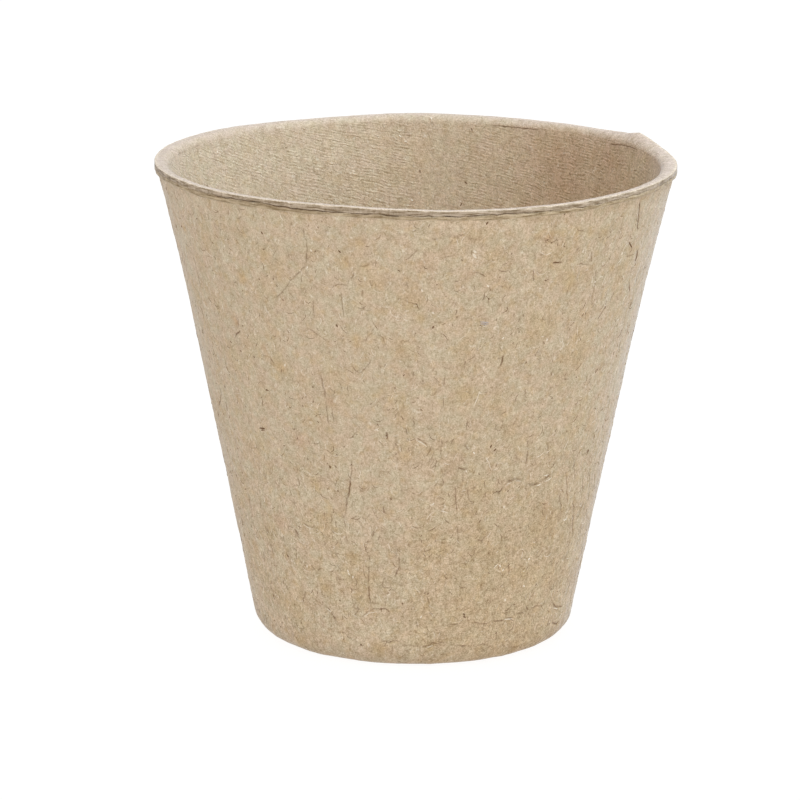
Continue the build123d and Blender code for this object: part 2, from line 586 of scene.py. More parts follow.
class Shade:
    """An output in a material's nodes. Sums and products of values add their Math nodes."""

    def __init__(self, tree, socket=None):
        self.tree = tree
        self.socket = socket

    def node(self, kind, settings=None, sockets=None, output=0):
        """A node of this kind, with its settings made first and then its sockets set or linked."""
        made = self.tree.nodes.new(kind)
        for name, value in (settings or {}).items():
            setattr(made, name, value)
        for name, value in (sockets or {}).items():
            if isinstance(value, Shade):
                self.tree.links.new(value.socket, made.inputs[name])
            else:
                made.inputs[name].default_value = value
        return Shade(self.tree, made.outputs[output]) if made.outputs else None

    def maths(self, operation, *values):
        return self.node("ShaderNodeMath", {"operation": operation}, dict(enumerate(values)))

    def __add__(self, other):
        return self.maths("ADD", self, other)

    def __sub__(self, other):
        return self.maths("SUBTRACT", self, other)

    def __rsub__(self, other):
        return self.maths("SUBTRACT", other, self)

    def __mul__(self, other):
        return self.maths("MULTIPLY", self, other)

    __radd__ = __add__
    __rmul__ = __mul__

    def size(self):
        """The value without its sign."""
        return self.maths("ABSOLUTE", self)

    def ramp(self, low, high):
        """0 up to low, 1 from high on, and eased between."""
        sockets = {"Value": self, "From Min": low, "From Max": high}
        return self.node("ShaderNodeMapRange", {"interpolation_type": "SMOOTHSTEP"}, sockets)

    def between(self, first, second):
        """The colour that goes from first to second as this value goes from 0 to 1. A Mix node takes
        colours at its sockets 6 and 7, and gives one at its output 2."""
        sockets = {0: self, 6: first, 7: second}
        return self.node("ShaderNodeMix", {"data_type": "RGBA"}, sockets, output=2)

    def times(self, value):
        """A colour or a vector made longer or brighter by a value."""
        return self.node("ShaderNodeVectorMath", {"operation": "SCALE"}, {0: self, "Scale": value})

    def stretched(self, factors):
        """A vector with each part scaled by its own factor."""
        return self.node("ShaderNodeVectorMath", {"operation": "MULTIPLY"}, {0: self, 1: factors})

    def cloud(self, wide, detail=1, twist=0):
        """Soft noise at this place, about one half, with lumps this wide."""
        sockets = {"Vector": self, "Scale": 1 / wide, "Detail": detail, "Distortion": twist}
        return self.node("ShaderNodeTexNoise", {}, sockets)

    def surface(self, sockets):
        """Ends a material in a surface with these sockets."""
        made = self.node("ShaderNodeBsdfPrincipled", {}, sockets)
        self.node("ShaderNodeOutputMaterial", {}, {"Surface": made})


def blank_material(name):
    """A material with no nodes yet, and where its nodes start from."""
    material = bpy.data.materials.new(name)
    material.use_nodes = True
    material.node_tree.nodes.clear()
    return material, Shade(material.node_tree)


class Pulp:
    """Felted peat and wood fibre: its colour and height so far, to which a ply adds its own finish."""

    # Umber darkens grooves, the split and the foot's edge, partly as painted shade. Russet is painted
    # shade on the screen side's right, cream painted light at its ends, the burr colour partly a
    # painted highlight, and the foot tint painted shade.
    umber = seen(96, 60, 26)
    pale = seen(206, 182, 163)
    bone = seen(238, 227, 208)
    cream = seen(219, 196, 171)
    burr = seen(228, 205, 180)
    russet = seen(184, 143, 114)
    shadow_tint = (0.50, 0.44, 0.33, 1)
    crest_tint = (1.50, 1.56, 1.67, 1)
    foot_shade_tint = (0.85, 0.845, 0.855)

    def __init__(self, name, sage, rosy, ochre, cut_and_shade_colour, grit, flecks):
        self.material, self.start = blank_material(name)
        here = self.here = self.start.node("ShaderNodeTexCoord", output="Object")
        self.x, self.y, self.z = [
            here.node("ShaderNodeSeparateXYZ", {}, {0: here}, output=axis) for axis in "XYZ"
        ]
        self.low = 1 - self.z.ramp(0.15 * pot_height, 0.6 * pot_height)
        hue = here.cloud(2.0e-3).ramp(0.3, 0.7)
        grain = here.cloud(0.5e-3, twist=0.7)
        dark_line = self.strands(1.5e-3, twist=0.6, thick=0.035) * here.cloud(1.1e-3).ramp(0.46, 0.62)
        pale_line = self.strands(1.15e-3, twist=0.8, thick=0.03) * here.cloud(0.9e-3).ramp(0.5, 0.64)
        pale = self.tone("pale")
        pale = pale * (1 - 1.5 * self.tone("worn") * (1 - pale)) * (0.6 + 0.4 * grain + 0.3 * hue)
        trim = self.tone("trim")
        colour = hue.between(sage, rosy)
        for amount, tint in (
            (here.cloud(1.3e-3).ramp(0.5, 0.8) * 0.4, ochre),
            (here.cloud(5.5e-3, detail=2).ramp(0.45, 0.75) * 0.35, ochre),
            (self.tone("stain") * 0.6, ochre),
            # Reddish patches on the felt side, and painted shade on the screen side's right
            (self.tone("blush") * 0.35, self.russet),
            # Pale stains on the felt side, and painted light at the ends of the screen side
            (self.tone("chalk") * 0.5, self.cream),
            (dark_line * flecks * (0.6 + 0.4 * self.low), self.umber),
            (pale_line * 0.35, self.bone),
            (pale, self.pale),
            # The cut edge's own colour, which under the lip is painted shade
            (trim * 0.85, cut_and_shade_colour),
            # The paler line along the cut's top edge, partly a painted highlight
            (self.tone("burr") * (1 - 0.7 * self.tone("stain")), self.burr),
        ):
            colour = amount.between(colour, tint)
        # Painted shade: darker and a little greyer towards the foot
        self.colour = self.tone("scuff").between(colour, colour.stretched(self.foot_shade_tint))

        # Lumps from fine to coarse, each with how much it lightens its crest and how high it stands
        lumps = [
            (here.cloud(0.2e-3), 0.95, 0.04e-3),
            (grain, 0.60, 0.10e-3),
            (here.cloud(1.1e-3, twist=0.5), 0.36, 0.12e-3),
            (here.stretched((1, 1, 0.22)).cloud(1.3e-3), 0.22, 0.06e-3),
        ]
        layers = here.stretched((0.09, 0.09, 1)).cloud(0.22e-3, detail=2) - 0.5
        layers = trim * layers * (1 - 0.5 * self.x.ramp(0.6 * rim_radius, 0.9 * rim_radius))
        loft = sum(light * (lump - 0.5) for lump, light, _ in lumps)
        self.loft = 0.5 + grit * loft * (1 - 0.4 * trim) + 2.6 * layers
        self.height = sum(tall * lump for lump, _, tall in lumps)
        self.height = self.height + 0.03e-3 * pale_line + 0.08e-3 * layers

    def strands(self, wide, twist, thick):
        """Thin wandering lines of fibre, longer up the wall than across it."""
        upright = self.here.stretched((1, 1, 0.4)).cloud(wide, twist=twist)
        return 1 - (upright - 0.5).size().ramp(0.0, thick)

    def tone(self, name):
        """One of the tones that the mesh carries."""
        return self.start.node("ShaderNodeAttribute", {"attribute_name": name}, output="Fac")

    def finish(self, piece):
        """Gives a piece this felt, dry and matt."""
        lit = self.colour.stretched(self.loft.between(self.shadow_tint, self.crest_tint))
        relief = {"Strength": 0.7, "Distance": 1.0, "Height": self.height}
        bump = self.start.node("ShaderNodeBump", {}, relief)
        self.start.surface({
            # Grooves, the split between the plies and the foot's edge are painted umber: partly dirt,
            # partly painted shade
            "Base Color": self.tone("crack").between(lit, self.umber),
            "Roughness": 0.92,
            "Specular IOR Level": 0.15,
            "Sheen Weight": 0.31,
            "Sheen Roughness": 0.3,
            "Sheen Tint": (0.9, 0.92, 1, 1),
            "Normal": bump,
        })
        piece.data.materials.append(self.material)


# The former's screen leaves rows of fine dashes. They run straight across the cone laid out flat, and
# are faint at two places: azimuth, then how far from it they are faint and full again, in degrees.
wire_pitch = 0.605e-3
cross_pitch = 1.25e-3
level_turn_of_wires = math.radians(76.5)
bare_places = [(6, 3, 10), (90, 8, 18)]
screen_felt = Pulp(
    "screen_side_felt", sage=seen(208, 189, 160), rosy=seen(210, 187, 161), ochre=seen(204, 177, 140),
    cut_and_shade_colour=seen(160, 142, 121), grit=0.85, flecks=0.33,
)
here = screen_felt.here
x, y, z = screen_felt.x, screen_felt.y, screen_felt.z
azimuth = x.maths("ARCTAN2", x, y)
flat = here.stretched((1, 1, 0))
reach = here.node("ShaderNodeVectorMath", {"operation": "LENGTH"}, {0: flat}, output="Value")
lean = (azimuth - level_turn_of_wires) * math.sin(taper)
spread = reach * (1 / math.sin(taper))
on_floor = 1 - z.ramp(1.1 * inner_depth, 1.4 * inner_depth)
bare = 0
for middle, faint, full in bare_places:
    off = (azimuth - math.radians(middle)).size()
    bare = bare + 1 - off.ramp(math.radians(faint), math.radians(full))
wobble = here.cloud(0.8e-3) * 0.25e-3 + here.cloud(3.5e-3) * 0.8e-3
wires = spread * lean.maths("COSINE", lean) * (1 - on_floor) + x * on_floor + wobble
crossing = spread * lean.maths("SINE", lean) * (1 - on_floor) + y * on_floor
dashes = x.maths("SINE", crossing * (full_turn / cross_pitch) + wires * (math.pi / wire_pitch))
rows = x.maths("SINE", wires * (full_turn / wire_pitch) + 0.4 * dashes)
breaks = here.node("ShaderNodeCombineXYZ", {}, {"X": crossing, "Y": wires * 2.3}).cloud(1.6e-3)
shaded = x.ramp(0.2 * rim_radius, 0.8 * rim_radius)
press = rows * (0.1 + 1.2 * breaks.ramp(0.42, 0.64) + 0.15 * dashes)
press = press * here.cloud(3e-3, detail=2).ramp(0.25, 0.55) * (1 - screen_felt.tone("pale"))
press = press * (1 - 0.7 * bare) * (1 + 0.5 * shaded)
screen_felt.loft = 0.5 + (screen_felt.loft - 0.5 + 0.1 * press) * (1 + 0.2 * shaded)
screen_felt.height = screen_felt.height + 0.03e-3 * press
screen_felt.finish(inner_ply)
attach(inner_ply, "root")
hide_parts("inner_ply")

# Outer ply
# The felt side of the pot, laid over the inner ply in the same pulp and pressed onto it. It forms
# the foot, the outside of the wall and the lower half of the lip, which has begun to part.
split_depth = 0.5e-3
lip_root_drop = 0.25e-3
lip_root_out = 0.6 * lip_overhang
# The felt side is painted darker and a little greyer from the foot up to this height: painted shade.
foot_shade_top = 4.2e-3
foot_ring_width = 4e-3
outer_edge = foot_edge(0)
foot_ring = (outer_edge[0, 0] - foot_ring_width, 0)
bond_edge = foot_edge(ply_thickness)[::-1]
lip_root = (wall_radius(lip_underside - lip_root_drop), lip_underside - lip_root_drop)
lip_turn = (lip_root[0] + lip_root_out, lip_underside)
lip_low = (rim_radius - edge_bevel, lip_underside)
trim_low = (rim_radius, lip_underside + edge_bevel)
trim_high = (rim_radius, split_level - split_gap)
gap_end = (rim_radius - split_depth, split_level)
bond_top = (wall_radius(split_level, ply_thickness), split_level)
outer_section = HalfSection([
    # The foot, its ring and its edge are painted darker: painted shade where the pot meets the floor.
    Stretch("foot", [(axis_hole, 0), foot_ring], 0.8e-3, scuff=(1, 1)),
    Stretch("foot_ring", [foot_ring, outer_edge[0]], 0.8e-3, scuff=(1, 1), crack=(0, 0.3)),
    Stretch("foot_edge", outer_edge, 0.4e-3, scuff=(1, 0.8), crack=(0.3, 0)),
    Stretch("wall_low", wall_face(outer_edge[-1, 1], foot_shade_top, 0), 0.45e-3, scuff=(0.8, 0)),
    Stretch("wall", wall_face(foot_shade_top, lip_root[1], 0), 0.5e-3),
    # The lip's root and underside take the cut edge's colour as painted shade under the lip.
    Stretch("lip_root", [lip_root, lip_turn], 0.2e-3, 0.8, trim=(0, 0.4)),
    Stretch("lip_underside", [lip_turn, lip_low], 0.2e-3, 0.8, trim=(0.4, 1)),
    Stretch("trim_low", [lip_low, trim_low], 0.2e-3, 0.8, trim=(1, 1)),
    Stretch("trim", [trim_low, trim_high], 0.15e-3, 1, trim=(1, 1)),
    # The split between the plies is painted dark: painted shade in the gap.
    Stretch("gap", [trim_high, gap_end], 0.2e-3, 0, crack=(0.3, 0.9)),
    Stretch("hidden_gap", [gap_end, bond_top], 0.4e-3, 0, crack=(0.9, 0.9)),
    Stretch("hidden_wall", wall_face(bond_edge[0, 1], split_level, ply_thickness)[::-1], 3e-3, 0),
    Stretch("hidden_edge", bond_edge, 1e-3, 0),
    Stretch("hidden_floor", [bond_edge[-1], (axis_hole, ply_thickness)], 3e-3, 0),
])
felt_lumps = [(7e-3, 0.09e-3, 1), (2.2e-3, 0.06e-3, 2.5), (1.0e-3, 0.03e-3, 1)]
# Kinds of line on the felt side; their shade is partly painted shade in the groove.
crack = dict(half_width=0.11e-3, depth=0.08e-3, lip=0.05e-3, reach=0.5e-3, shade=1.0, ragged=0.09e-3)
hair = dict(half_width=0.08e-3, depth=0.06e-3, lip=0.03e-3, reach=0.3e-3, shade=0.65, ragged=0.07e-3)
flap = dict(half_width=0.13e-3, depth=0.10e-3, lip=0.2e-3, reach=0.9e-3, shade=0.6, ragged=0.12e-3)
split = dict(half_width=0.1e-3, depth=0.08e-3, lip=0.06e-3, reach=0.5e-3, shade=0.85, ragged=0.07e-3)
crease = dict(half_width=0.1e-3, depth=0.07e-3, lip=0.14e-3, reach=0.6e-3, shade=0.6, ragged=0.16e-3)
tide = dict(half_width=0.22e-3, depth=0.03e-3, lip=0.03e-3, reach=1e-3, shade=0.2, ragged=0.2e-3)
wall_cracks = [
    [(193, 255), (195, 264), (197, 272), (199, 279), (201, 290)], [(238, 318), (238.5, 327)],
    [(240, 330), (239, 333), (236, 335)], [(219, 385), (221, 392), (221, 399), (219, 406)],
    [(321, 376), (324, 388), (326, 398)], [(350.5, 478), (349, 491), (347, 503)],
    [(640, 197), (639.5, 203), (639, 213), (638, 222), (637.5, 231)],
    [(636.5, 248), (636, 256), (634.5, 262)], [(629, 279), (629, 285), (630, 291)],
    [(552, 260), (557, 260), (563, 260.5)], [(607, 304), (602, 312), (597, 320)],
    [(249, 496), (250, 503), (252, 510)], [(295, 529), (297, 534), (299, 536)],
    [(504, 354), (502, 360), (500, 367)], [(263, 551), (264, 557), (265, 562)],
    [(270, 544), (272, 550), (273, 554)], [(272, 592), (275, 600)],
    [(457, 468), (462, 468), (467, 470)], [(387, 432), (386.5, 440)],
]
wall_splits = [
    [(368.5, 565), (369, 575), (368.7, 583)], [(368.8, 584), (369, 592), (370, 599), (370, 605)],
    [(327, 606), (329.5, 610), (332, 613.5), (335.5, 619)],
    [(399, 557), (399.5, 563), (398.5, 569), (395, 577)],
    [(379, 609), (385, 608.3), (388, 609.5), (390, 613)], [(494, 621.5), (498, 621), (505, 620)],
    [(526, 606.5), (528.5, 610)], [(551, 602.5), (556, 606.5), (563, 606)],
    [(551.5, 622.5), (556, 624.5), (559, 621)],
]
wall_hairs = [
    [(352, 460), (351.5, 470), (350.5, 480)], [(347.5, 500), (346, 510), (344, 519)],
    [(306.5, 242), (306.5, 254), (306, 265)], [(306.5, 265), (301, 270.5), (295, 276.5), (288, 284)],
    [(290, 281), (286, 288), (282, 292), (276, 298)], [(434, 452), (431, 461)],
    [(431, 446), (427, 457)], [(547, 443), (548, 450), (549, 457)], [(505, 617.8), (513, 617.8)],
    [(516, 613.5), (524, 612)], [(362, 617.5), (367, 612), (373, 609), (382, 608.5)],
    [(314, 599), (322, 604.5), (328, 608)], [(238, 206), (241, 210), (246, 209)],
    [(239, 508), (240, 517), (241, 527)], [(566, 470), (567, 490), (567, 508)],
    [(574, 462), (575, 480)], [(573, 500), (573, 520), (572, 540)], [(583, 470), (582, 492)],
    [(595, 470), (593, 490)], [(560, 500), (561, 515)], [(201, 292), (202, 301)],
    [(219, 225), (221, 231)], [(208, 211), (209, 220)], [(341, 290), (342, 303), (344, 318)],
    [(313, 299), (313, 309), (315, 319)], [(362, 289), (363, 297)],
    [(331, 289), (336, 285), (342, 284), (349, 286)], [(300, 289), (305, 289)],
    [(354, 272), (352, 279)], [(404, 259), (407, 258.5), (412, 254), (418, 248)],
    [(407, 281), (408, 289)], [(358, 267), (364, 266), (370, 264)],
    [(403, 299), (412, 303), (418, 304)], [(474, 270), (480, 271), (486, 275)],
    [(498, 284), (504, 284)], [(444, 295), (447, 296)], [(533, 266), (534, 280)],
    [(521, 315), (518, 321)], [(633, 265), (630, 273)], [(629, 241), (632, 247)],
    [(626, 256), (634, 253)], [(620, 228), (623, 226)], [(579, 262), (591, 263)],
    [(592, 249), (591, 260)], [(596, 267), (595, 283), (592, 296), (592, 307)],
    [(586, 310), (585, 318)], [(615, 289), (610, 302)],
    [(308, 329), (314, 332), (320, 336), (328, 341)], [(365, 342), (367, 337), (373, 332)],
    [(376, 333), (383, 337), (385, 344)], [(351, 364), (354, 370), (360, 374), (365, 369), (372, 359)],
    [(347, 385), (348, 397)], [(326, 398), (327, 411), (328, 425)], [(332, 411), (334, 422)],
    [(445, 376), (443, 386)], [(433, 321), (445, 321)], [(413, 417), (414, 426)],
    [(466, 361), (464, 368)], [(526, 389), (525, 397)], [(528, 378), (529, 384)],
    [(528, 424), (531, 420)], [(561, 379), (567, 379)], [(295, 431), (297, 437), (299, 441)],
    [(303, 522), (308, 526), (314, 528)], [(331, 514), (332, 522)], [(335, 521), (337, 528)],
    [(344, 521), (346, 529)], [(415, 438), (422, 441), (428, 446)], [(400, 490), (408, 490)],
    [(383, 505), (384, 513)], [(373, 530), (374, 536)], [(464, 443), (468, 449)],
    [(455, 485), (456, 500), (457, 512)], [(435, 537), (435, 543)], [(441, 543), (447, 543)],
    [(458, 526), (458, 545)], [(528, 438), (528, 452), (526, 462), (524, 467)],
    [(467, 488), (468, 497), (471, 503)], [(590, 465), (589, 482), (588, 503)],
    [(581, 524), (580, 534)], [(586, 508), (587, 520)], [(543, 511), (543, 516)],
    [(477, 540), (483, 540)], [(265, 572), (268, 580)], [(357, 611), (355, 617)],
    [(362, 541), (367, 552), (371, 562)], [(383, 579), (383, 588), (392, 588)],
    [(509, 562), (509, 575)], [(503, 487), (500, 491), (498, 496)],
]
wall_flaps = [
    [(522, 480), (516, 478.5), (511, 479), (506, 483)],
    [(552, 473), (546, 478), (541, 481), (535, 484.5), (526, 485)],
]
foot_creases = [
    [(337, 632), (343, 633), (349, 637)], [(347, 636), (353, 639), (359, 643)],
    [(380, 640.5), (387, 641), (393, 640.5), (401, 642)],
    [(400, 645.5), (407, 644.5), (413, 646), (419, 645)], [(421, 646), (427, 645.5), (433, 643.5)],
    [(431, 644), (437, 643), (444, 641)], [(448, 625), (455, 624), (462, 622)],
    [(473, 622.5), (480, 624), (487, 622.5), (493, 621.5)],
    [(530, 608.5), (536, 606.5), (541, 605.5), (546, 602)], [(456, 645), (466, 646)],
    [(477, 645), (487, 644)],
]
tide_lines = [
    [(440, 234), (458, 233), (470, 237), (484, 236)],
    [(528, 233), (545, 236.5), (562, 236), (580, 232)],
    [(576, 230), (594, 230), (612, 230)],
]
stray_count = 46
stray_points = 5
stray_lengths = (1.5e-3, 5.5e-3)
stray_heights = (0.06, 0.9)
stray_turns = (0.06, 0.94)
stray_drift = 0.3
stray_chance = np.random.default_rng(23)


def stray_marks():
    """Marks of the same kinds on the half of the wall that the photograph doesn't show."""
    marks = []
    for _ in range(stray_count):
        kind = (crack, hair, hair, hair)[stray_chance.integers(4)]
        length = stray_chance.uniform(*stray_lengths)
        foot = stray_chance.uniform(*stray_heights) * pot_height
        height = foot + np.linspace(0, length, stray_points)
        drift = np.cumsum(stray_chance.normal(0, stray_drift, stray_points)) * length / stray_points
        turn = stray_chance.uniform(*stray_turns) * math.pi + drift / wall_radius(height)
        route = np.column_stack([turn, outer_section.rise_at("wall", height)])
        marks.append(Mark(route, wall_radius(height.mean()), stray_chance, **kind))
    return marks


# Where along the rim the plies have parted, and how far the lip sags in front: azimuth and half width
# in degrees, then how wide or how far
partings = [
    (-162, 18, -0.25e-3), (-120, 20, 0.2e-3), (-88, 14, 0.08e-3), (-60, 22, 0.06e-3),
    (60, 25, 0.1e-3), (140, 20, 0.14e-3),
]
parting_lumps = [(4e-3, 0.1e-3, 1), (1.3e-3, 0.2e-3, 1)]
least_parting = 0.005e-3
lip_sag = [(-112, 45, 0.26e-3)]


def swollen_lip(turn, radius, height):
    """Heights of the outer ply. Its lip meets the upper one except at the partings, and it sags."""
    gap = waves_at(turn, partings) + swell_of(round_axis(turn, rim_radius, 0 * turn), parting_lumps)
    gap = np.clip(gap, least_parting, split_gap)
    outer_share = eased((radius - gap_end[0]) / (trim_high[0] - gap_end[0]))
    upper_share = eased((height - lip_underside) / (trim_high[1] - lip_underside))
    overhang = eased((radius - wall_radius(height)) / lip_overhang)
    sag = waves_at(turn, lip_sag) * overhang * (1 - upper_share)
    return height + outer_share * upper_share * (split_gap - gap) - sag


outer_marks = []
for kind, routes in (
    (crack, wall_cracks), (split, wall_splits), (hair, wall_hairs), (flap, wall_flaps),
    (crease, foot_creases), (tide, tide_lines),
):
    outer_marks += traced(outer_section, 0, False, kind, routes)
outer_marks += stray_marks()
outer_ply = laid_felt(
    "outer_ply_felt", outer_section, outer_marks, felt_lumps, seed=5, settle=swollen_lip,
)
wall_stain = [
    (356, 339, 5), (242, 276, 7), (280, 366, 9), (466, 513, 5), (570, 284, 6), (612, 268, 5),
    (406, 456, 6), (359, 243, 6), (354, 556, 5), (325, 588, 5), (316, 486, 5), (243, 503, 7),
    (184, 228, 5), (300, 640, 8), (378, 650, 9), (516, 645, 6), (466, 395, 9), (345, 262, 7),
    (420, 318, 5), (264, 254, 7), (538, 235, 5), (550, 235, 6), (563, 233, 5), (576, 232, 6),
    (590, 232, 5), (604, 232, 5),
]
stained(outer_ply, "stain", wall_stain)
wall_blush = [
    (237, 323, 6), (205, 262, 5), (425, 263, 8), (264, 347, 4), (407, 374, 6), (471, 272, 5),
    (283, 300, 5), (549, 238, 5), (330, 400, 6), (280, 522, 7), (450, 466, 8), (545, 505, 6),
    (509, 570, 4), (300, 440, 8),
]
stained(outer_ply, "blush", wall_blush)
wall_chalk = [
    (440, 225, 5), (452, 227, 5), (465, 225, 5), (478, 226, 5), (492, 226, 5), (506, 226, 5),
    (520, 225, 5),
]
stained(outer_ply, "chalk", wall_chalk)
outer_felt = Pulp(
    "felt_side_felt", sage=seen(193, 177, 150), rosy=seen(196, 174, 148), ochre=seen(185, 156, 112),
    cut_and_shade_colour=seen(166, 146, 117), grit=0.92, flecks=0.4,
)
low = outer_felt.low
# Painted shade: the felt side is painted darker and warmer towards the foot and on the right.
right = outer_felt.x.ramp(-0.2 * rim_radius, 0.3 * rim_radius)
low_right_shade = 0.08 * low + right * (0.1 + 0.25 * low)
outer_felt.colour = low_right_shade.between(outer_felt.colour, seen(178, 151, 112))
outer_felt.loft = 0.5 + (outer_felt.loft - 0.5) * (0.86 + 0.3 * low) * (1 + 0.2 * right)
outer_felt.finish(outer_ply)
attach(outer_ply, "root")
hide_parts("outer_ply")

# Loose fibres
# Single fibres and splinters of bark that dried flat on the felt, half sunk in it. Some are pale bast
# and some are dark bark. The screen side holds fewer of them.
fibre_points = 5
# Where fibres lie up the wall, how far they stand out, and how widely they lean and curl in radians
fibre_heights = (0.045 * pot_height, 0.97 * pot_height)
fibre_stand = (0.02e-3, 0.045e-3)
fibre_lean = 0.75
fibre_curl = 1.1
chip_stand = 0.1e-3
chip_lean = 0.6
fibre_chance = np.random.default_rng(31)


class Litter:
    """Fibres and chips on one face of the wall, each a line of points in turn and height."""

    def __init__(self, depth, side, lumps):
        self.depth = depth
        self.side = side
        self.lumps = lumps
        self.lines = []
        self.sizes = []

    def add(self, turn, height, length, heading, curl, half_width, tall, tone):
        """Lays fibres on the wall about these places. Tone 0 is bark, 1 is bast and 2 is grey."""
        share = np.linspace(-0.5, 0.5, fibre_points)
        way = heading[:, None] + curl[:, None] * share
        step = length[:, None] / (fibre_points - 1)
        up = np.cumsum(np.cos(way), 1) - np.cos(way) * (fibre_points + 1) / 2
        across = np.cumsum(np.sin(way), 1) - np.sin(way) * (fibre_points + 1) / 2
        height = np.clip(height[:, None] + up * step, fibre_heights[0], lip_root[1])
        turn = turn[:, None] + across * step / wall_radius(height)
        self.lines.append(np.stack([turn, height], 2))
        self.sizes.append(np.column_stack([half_width, tall, tone]))

    def strew(self, count, shortest, longest, widths, tones):
        """Lays fibres anywhere on the wall, mostly upright."""
        chance = fibre_chance
        self.add(
            chance.uniform(0, full_turn, count), chance.uniform(*fibre_heights, count),
            shortest * (longest / shortest) ** chance.uniform(0, 1, count),
            chance.normal(0, fibre_lean, count), chance.normal(0, fibre_curl, count),
            chance.uniform(*widths, count), chance.uniform(*fibre_stand, count),
            chance.beta(*tones, count),
        )

    def trace(self, routes, half_width, tall, tone):
        """Lays fibres along routes that show at pixels of the photograph."""
        for pixels in routes:
            line = on_wall(pixels, self.depth, self.side < 0)
            share = np.linspace(0, 1, fibre_points) * (len(line) - 1)
            line = np.column_stack([np.interp(share, np.arange(len(line)), axis) for axis in line.T])
            self.lines.append(line[None])
            self.sizes.append(np.array([[half_width, tall, tone]]))

    def place(self, pixels, length, half_width, tone):
        """Lays chips where they show at these pixels of the photograph."""
        turn, height = on_wall(pixels, self.depth, self.side < 0).T
        count = len(pixels)
        self.add(
            turn, height, np.full(count, length), fibre_chance.normal(0, chip_lean, count),
            np.zeros(count), *[np.full(count, size) for size in (half_width, chip_stand, tone)],
        )

    def shaped(self, name):
        """All of them as one object, each a closed three-sided tube that thins towards its ends."""
        turn, height = np.concatenate(self.lines).transpose(2, 0, 1)
        half_width, tall, tone = np.concatenate(self.sizes).T
        count = len(turn)
        radius = wall_radius(height, self.depth)
        spots = round_axis(turn.ravel(), radius.ravel(), height.ravel())
        radius = radius + self.side * swell_of(spots, self.lumps).reshape(turn.shape)
        line = dried(turn.ravel(), radius.ravel(), height.ravel()).reshape(count, fibre_points, 3)
        outward = np.stack([np.cos(turn), np.sin(turn), np.full(turn.shape, -math.tan(taper))], 2)
        outward = outward * self.side * math.cos(taper)
        across = np.cross(outward, np.gradient(line, axis=1))
        across /= np.linalg.norm(across, axis=2, keepdims=True)
        slim = np.interp(np.linspace(0, 1, fibre_points), [0, 0.3, 0.7, 1], [0.35, 1, 1, 0.35])[:, None]
        wide = across * half_width[:, None, None] * slim
        high = outward * tall[:, None, None] * slim
        rings = np.stack([line - wide - high, line + wide - high, line + high], 2)
        corner = np.arange(count * fibre_points * 3).reshape(count, fibre_points, 3)
        first, second = corner[:, :-1], corner[:, 1:]
        sides = []
        for a, b in ((0, 1), (1, 2), (2, 0)):
            side = np.stack([first[:, :, a], first[:, :, b], second[:, :, b], second[:, :, a]], 2)
            sides += side.reshape(-1, 4).tolist()
        ends = np.concatenate([corner[:, 0, ::-1], corner[:, -1]])
        mesh = bpy.data.meshes.new(name)
        mesh.from_pydata(rings.reshape(-1, 3).tolist(), [], sides + ends.tolist())
        carry(mesh, "tone", np.repeat(tone, fibre_points * 3))
        mesh.materials.append(fibre_material)
        return set_out(name, mesh)


fibre_material, start = blank_material("loose_fibre")
tone = start.node("ShaderNodeAttribute", {"attribute_name": "tone"}, output="Fac")
streak = start.node("ShaderNodeTexCoord", output="Object").cloud(0.3e-3, detail=2)
colour = tone.ramp(0.0, 0.45).between(seen(106, 76, 48), seen(194, 171, 141))
colour = tone.ramp(0.6, 1.0).between(colour, seen(238, 226, 207))
colour = tone.ramp(1.2, 1.8).between(colour, seen(182, 171, 164))
start.surface({
    "Base Color": colour.times(0.85 + 0.3 * streak),
    "Roughness": 0.8,
    "Specular IOR Level": 0.2,
})

outside = Litter(0.0, 1, felt_lumps)
outside.strew(
    6500, shortest=0.25e-3, longest=1.5e-3, widths=(0.045e-3, 0.085e-3), tones=(0.65, 0.8),
)
outside.strew(420, shortest=0.2e-3, longest=0.45e-3, widths=(0.07e-3, 0.14e-3), tones=(0.7, 2.5))
bark_pixels = [
    (339.5, 252), (464, 614.5), (464.5, 617), (337, 326), (288, 556), (433, 326.5), (330, 467),
    (588, 451), (491, 446.5), (495, 450), (267, 390), (487, 220.5), (262, 233), (361, 645), (565, 209),
]
speck_pixels = [
    (213, 243), (259, 279), (273, 279), (267, 276), (283, 300), (315, 252), (318, 228), (399, 270),
    (500, 275), (512, 251), (489, 297), (462, 258), (457, 316), (404, 375), (371, 404), (313, 387),
    (303, 406), (313, 402), (316, 416), (318, 422), (209, 351), (231, 342), (254, 357), (241, 351),
    (511, 333), (513, 342), (527, 345), (526, 362), (519, 331), (280, 478.5), (246, 489), (337, 455),
    (336, 467), (338, 491), (308, 459), (479, 474), (508, 491), (519, 487), (340, 600.5), (324, 616.5),
    (425, 593), (428, 594), (425, 641), (551, 589), (549, 577), (536, 584), (555, 623), (549, 624),
    (557, 627), (278, 629), (282, 633), (293, 635), (565, 244), (558, 242), (548, 237), (552, 240),
    (576, 377), (552, 398), (395, 388), (418, 398), (423, 381), (344, 447), (353, 437), (412, 518),
    (391, 499), (396, 454), (182, 227), (197, 219), (496, 633), (489, 573), (487, 590),
]
bast_pixels = [
    (422, 289.5), (488, 284), (377, 430), (474, 453), (504, 507), (500, 566), (503, 570), (503, 337),
    (547, 339), (433, 312), (311, 251), (307, 268), (307, 566), (348, 571), (349, 574), (353, 577),
    (466, 471), (529, 559), (285, 365), (583, 249), (622, 252), (433, 504), (421, 617), (524, 586),
    (505, 600),
]
